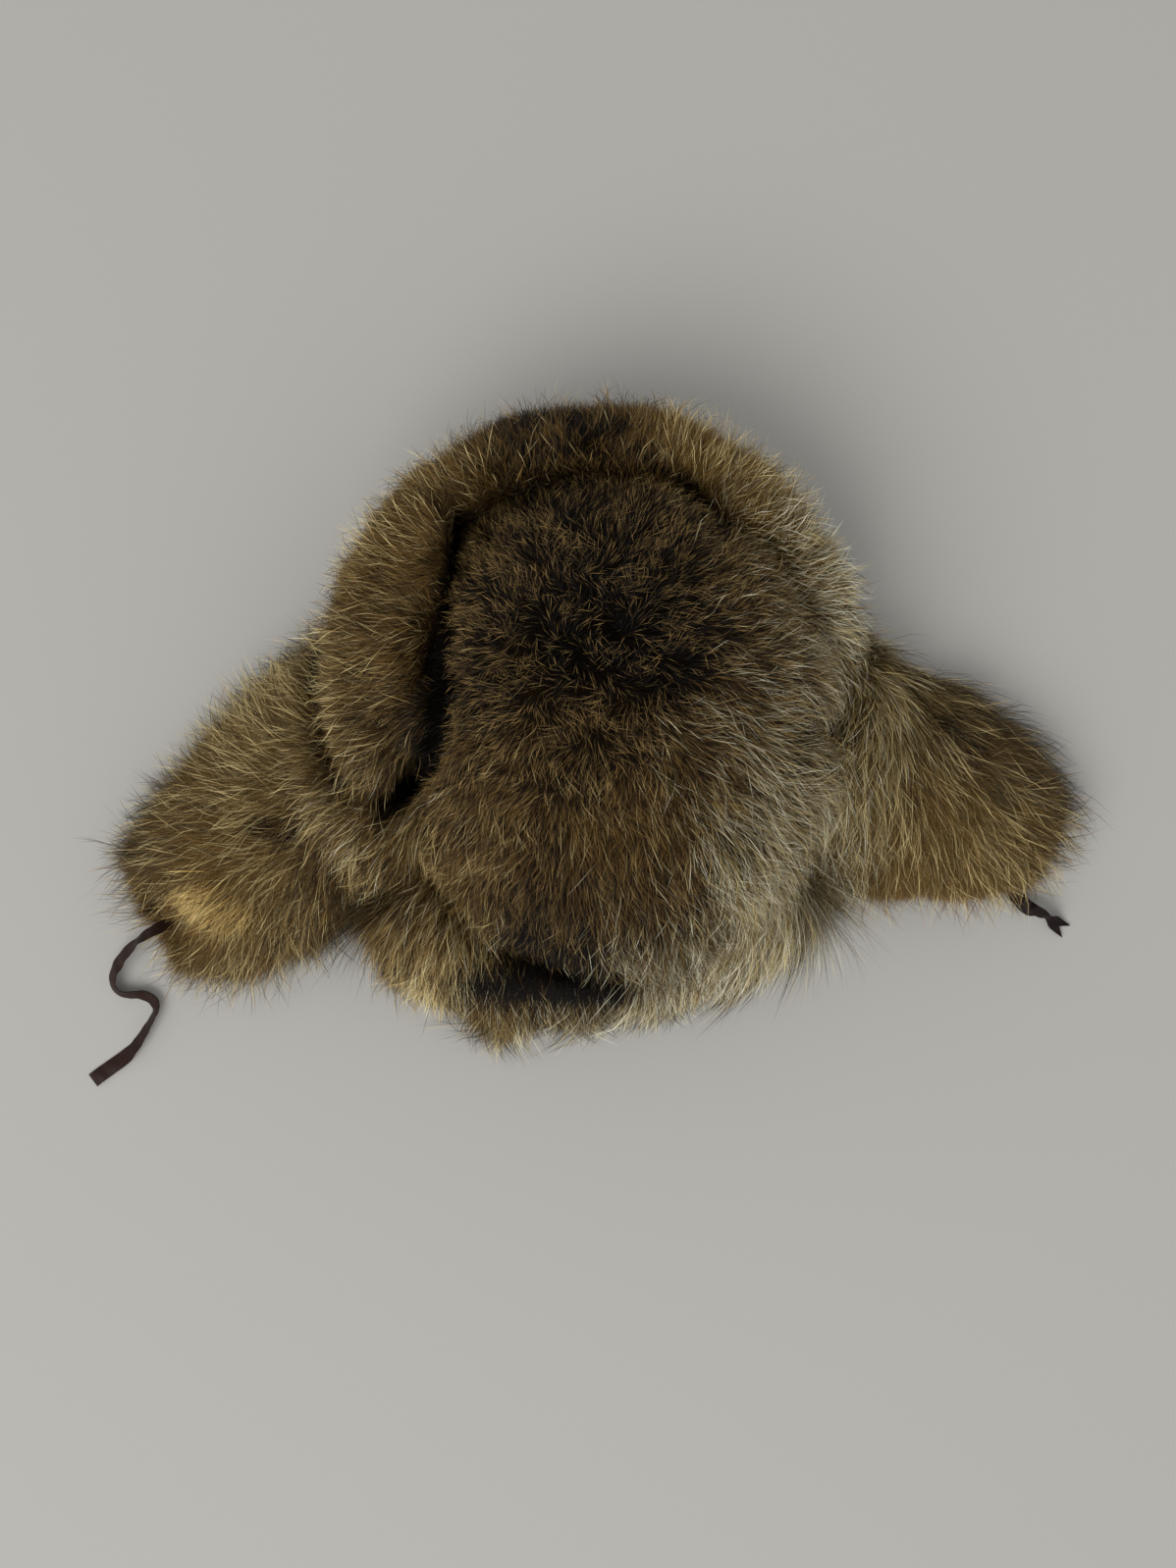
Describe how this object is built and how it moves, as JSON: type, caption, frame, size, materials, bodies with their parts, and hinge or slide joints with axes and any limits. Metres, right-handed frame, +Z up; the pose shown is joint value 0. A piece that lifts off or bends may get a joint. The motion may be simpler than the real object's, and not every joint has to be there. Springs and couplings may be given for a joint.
{
  "type": "fur ushanka hat",
  "caption": "Long-haired brown fur hat with a turned up front, ear flaps spread to the sides, a neck flap and satin tie ribbons, lying crown up.",
  "frame": {"origin": "on the floor, under the middle of the hat's outline without its tie ribbons", "axes": "+X towards the wearer's left, -Y towards the front, +Z up out of the crown"},
  "size_m": [0.4809, 0.322, 0.1396],
  "materials": {
    "pelt": "matte",
    "dark_fur": "fur",
    "brown_fur": "fur",
    "golden_fur": "fur",
    "ribbon": "satin"
  },
  "bodies": {
    "root": {"crown_wall": "pelt", "crown_fur": "dark_fur", "front_visor": "brown_fur", "ear_flap_left": "golden_fur", "ear_flap_right": "golden_fur", "neck_flap": "brown_fur", "ribbon_left": "ribbon", "ribbon_right": "ribbon"}
  },
  "joints": []
}
